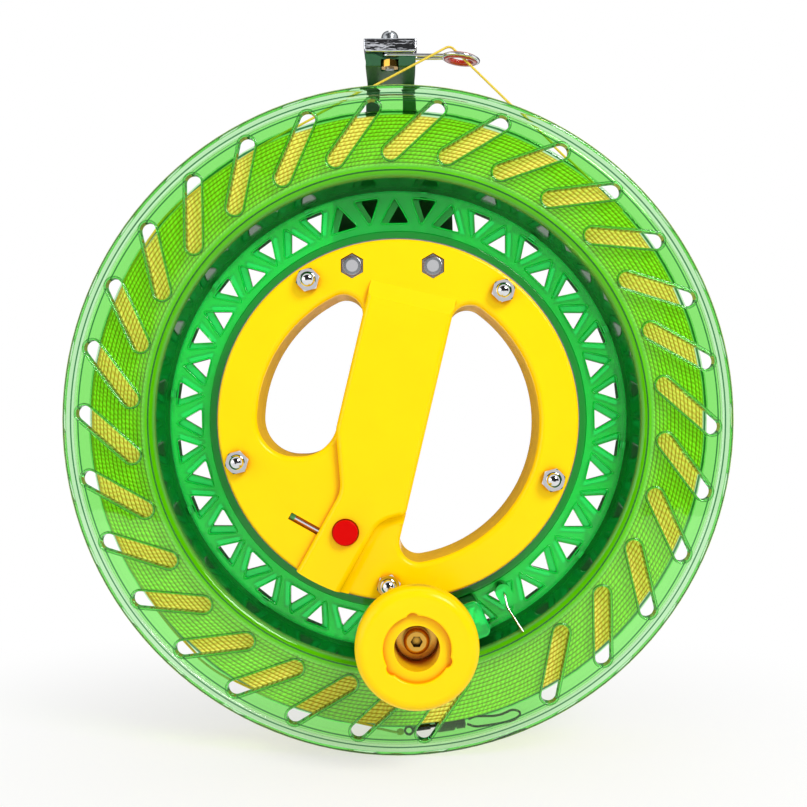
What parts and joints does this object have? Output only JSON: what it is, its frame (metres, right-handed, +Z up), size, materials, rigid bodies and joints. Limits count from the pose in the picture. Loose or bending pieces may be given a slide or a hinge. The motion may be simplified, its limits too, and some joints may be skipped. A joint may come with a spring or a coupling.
{
  "type": "kite line winder",
  "caption": "Hand-held kite line reel: clear green spool wheel turning on a ball bearing about a yellow grip disc, with crank knob, brake button and line guide.",
  "frame": {"origin": "centre of the wheel on its axle axis at the middle plane between the two flanges, inside the grip bar", "axes": "wheel axis along Y with the crank side towards -Y; +Z up through the line guide; +X to the right seen from the crank side"},
  "size_m": [0.22, 0.0779, 0.2427],
  "materials": {
    "clear_green": "clear tinted gloss",
    "line_yellow": "twisted polyester line",
    "bearing_steel": "ground",
    "cage_nylon": "natural nylon",
    "yellow_plastic": "gloss ABS",
    "bright_steel": "polished",
    "zinc_steel": "zinc plated",
    "red_plastic": "gloss",
    "pad_rubber": "matte",
    "green_plastic": "gloss",
    "brass_sleeve": "turned",
    "dark_green_plastic": "satin",
    "red_ceramic": "polished",
    "dark_nickel": "black nickel"
  },
  "bodies": {
    "disc": {"bearing_inner_race": "bearing_steel", "front_plate": "yellow_plastic", "back_plate": "yellow_plastic", "front_grip": "yellow_plastic", "back_grip": "yellow_plastic", "plate_bolts": "bright_steel", "dome_nuts": "bright_steel", "arm_bolts": "bright_steel", "nyloc_nuts": "zinc_steel", "pivot_rod": "bright_steel", "rod_collar": "green_plastic", "button_spring": "zinc_steel", "guide_arm": "dark_green_plastic", "guide_saddle": "bright_steel", "guide_screw": "zinc_steel", "guide_nut": "brass_sleeve", "guide_frame": "bright_steel", "guide_ring": "red_ceramic", "kite_line": "line_yellow", "line_knot": "line_yellow", "swivel_eye": "dark_nickel"},
    "wheel": {"front_half": "clear_green", "back_half": "clear_green", "wound_line": "line_yellow", "bearing_outer_race": "bearing_steel", "knob_sleeve": "brass_sleeve", "knob_washer": "brass_sleeve", "knob_bolt": "brass_sleeve", "knob_nut": "zinc_steel", "line_clip": "bright_steel"},
    "cage": {"bearing_cage": "cage_nylon", "bearing_balls": "bearing_steel"},
    "knob": {"knob": "yellow_plastic"},
    "button": {"brake_button": "red_plastic"},
    "rocker": {"brake_rocker": "cage_nylon", "brake_pad": "pad_rubber"},
    "snap": {"swivel_barrel": "dark_nickel", "line_snap": "dark_nickel"}
  },
  "joints": [
    {"name": "wheel_spin", "type": "hinge", "parent": "disc", "child": "wheel", "pos_m": [0, 0, 0], "axis": [0, 1, 0], "continuous": true},
    {"name": "cage_spin", "type": "hinge", "parent": "disc", "child": "cage", "pos_m": [0, 0, 0], "axis": [0, 1, 0], "continuous": true},
    {"name": "knob_spin", "type": "hinge", "parent": "wheel", "child": "knob", "pos_m": [0.00591, -0.036, -0.0689], "axis": [0, -1, 0], "continuous": true},
    {"name": "button_press", "type": "slide", "parent": "disc", "child": "button", "axis": [0, 1, 0], "range_m": [0, 0.0012], "stiffness_N_per_m": 400, "springref_m": -0.001, "deforming": ["button_spring"]},
    {"name": "rocker_tilt", "type": "hinge", "parent": "disc", "child": "rocker", "pos_m": [-0.01948, -0.0114, -0.04094], "axis": [-0.8746, 0, 0.4848], "range_deg": [0, 9]},
    {"name": "swivel_spin", "type": "hinge", "parent": "disc", "child": "snap", "pos_m": [0.00197, -0.008, -0.10453], "axis": [0.9898, 0, 0.1426], "continuous": true}
  ],
  "couplings": [
    {"joint": "cage_spin", "follows": "wheel_spin", "ratio": 0.51051},
    {"joint": "rocker_tilt", "follows": "button_press", "rad_per_m": 125}
  ]
}
